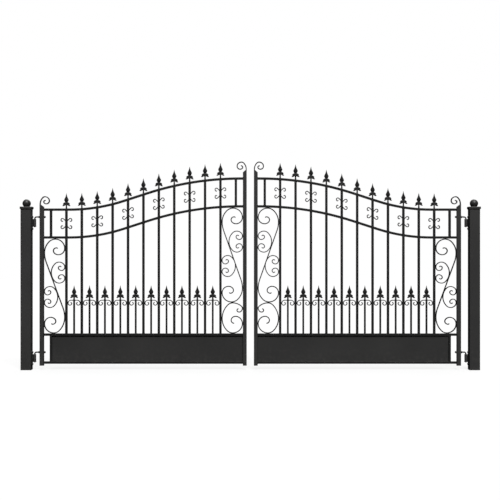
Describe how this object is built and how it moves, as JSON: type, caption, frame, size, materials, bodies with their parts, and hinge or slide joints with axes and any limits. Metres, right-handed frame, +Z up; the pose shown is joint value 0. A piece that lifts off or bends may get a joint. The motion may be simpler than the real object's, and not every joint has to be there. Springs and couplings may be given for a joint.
{
  "type": "double swing driveway gate",
  "caption": "Pair of ogee-topped wrought-iron driveway gate leaves with spears, scrolls and a kick panel, hung by hook-and-barrel hinges on square posts with ball caps.",
  "frame": {"origin": "on the ground, midway between the two posts, in the plane of the closed leaves", "axes": "+X to the right seen from the road, +Y away from the road, +Z up"},
  "size_m": [3.846, 0.1, 1.7428],
  "materials": {
    "post_paint": "satin black paint on steel tube",
    "cap_casting": "satin black paint on cast iron",
    "bar_iron": "satin black paint on steel bar",
    "scroll_iron": "satin black paint on bent flat bar",
    "spear_casting": "satin black paint on cast iron",
    "panel_sheet": "satin black paint on sheet steel",
    "hinge_iron": "satin black paint on forged steel, worn where it turns"
  },
  "bodies": {
    "posts": {"bracket_bolts": "hinge_iron", "left_lower_bracket": "hinge_iron", "left_post": "post_paint", "left_post_ball": "cap_casting", "left_post_cap": "cap_casting", "left_upper_bracket": "hinge_iron", "right_lower_bracket": "hinge_iron", "right_post": "post_paint", "right_post_ball": "cap_casting", "right_post_cap": "cap_casting", "right_upper_bracket": "hinge_iron"},
    "left_leaf": {"left_base_scroll": "scroll_iron", "left_bottom_rail": "bar_iron", "left_c_scrolls": "scroll_iron", "left_dog_bar_scrolls": "scroll_iron", "left_dog_bar_spears": "spear_casting", "left_dog_bars": "bar_iron", "left_frieze_bars": "bar_iron", "left_frieze_scrolls": "scroll_iron", "left_heel_s_scroll": "scroll_iron", "left_heel_stile": "bar_iron", "left_heel_stile_scroll": "scroll_iron", "left_hook_nuts": "hinge_iron", "left_kick_panel": "panel_sheet", "left_lower_hook": "hinge_iron", "left_lower_rail": "bar_iron", "left_meeting_s_scroll": "scroll_iron", "left_meeting_stile": "bar_iron", "left_meeting_stile_scroll": "scroll_iron", "left_middle_rail": "bar_iron", "left_panel_end_bar": "bar_iron", "left_pickets": "bar_iron", "left_rail_spears": "spear_casting", "left_top_rail": "bar_iron", "left_upper_hook": "hinge_iron"},
    "right_leaf": {"right_base_scroll": "scroll_iron", "right_bottom_rail": "bar_iron", "right_c_scrolls": "scroll_iron", "right_dog_bar_scrolls": "scroll_iron", "right_dog_bar_spears": "spear_casting", "right_dog_bars": "bar_iron", "right_frieze_bars": "bar_iron", "right_frieze_scrolls": "scroll_iron", "right_heel_s_scroll": "scroll_iron", "right_heel_stile": "bar_iron", "right_heel_stile_scroll": "scroll_iron", "right_hook_nuts": "hinge_iron", "right_kick_panel": "panel_sheet", "right_lower_hook": "hinge_iron", "right_lower_rail": "bar_iron", "right_meeting_s_scroll": "scroll_iron", "right_meeting_stile": "bar_iron", "right_meeting_stile_scroll": "scroll_iron", "right_middle_rail": "bar_iron", "right_panel_end_bar": "bar_iron", "right_pickets": "bar_iron", "right_rail_spears": "spear_casting", "right_top_rail": "bar_iron", "right_upper_hook": "hinge_iron"}
  },
  "joints": [
    {"name": "left_leaf_swing", "type": "hinge", "parent": "posts", "child": "left_leaf", "pos_m": [-1.805, 0, 0.7], "axis": [0, 0, 1], "range_deg": [-90, 90]},
    {"name": "right_leaf_swing", "type": "hinge", "parent": "posts", "child": "right_leaf", "pos_m": [1.805, 0, 0.7], "axis": [0, 0, -1], "range_deg": [-90, 90]}
  ]
}
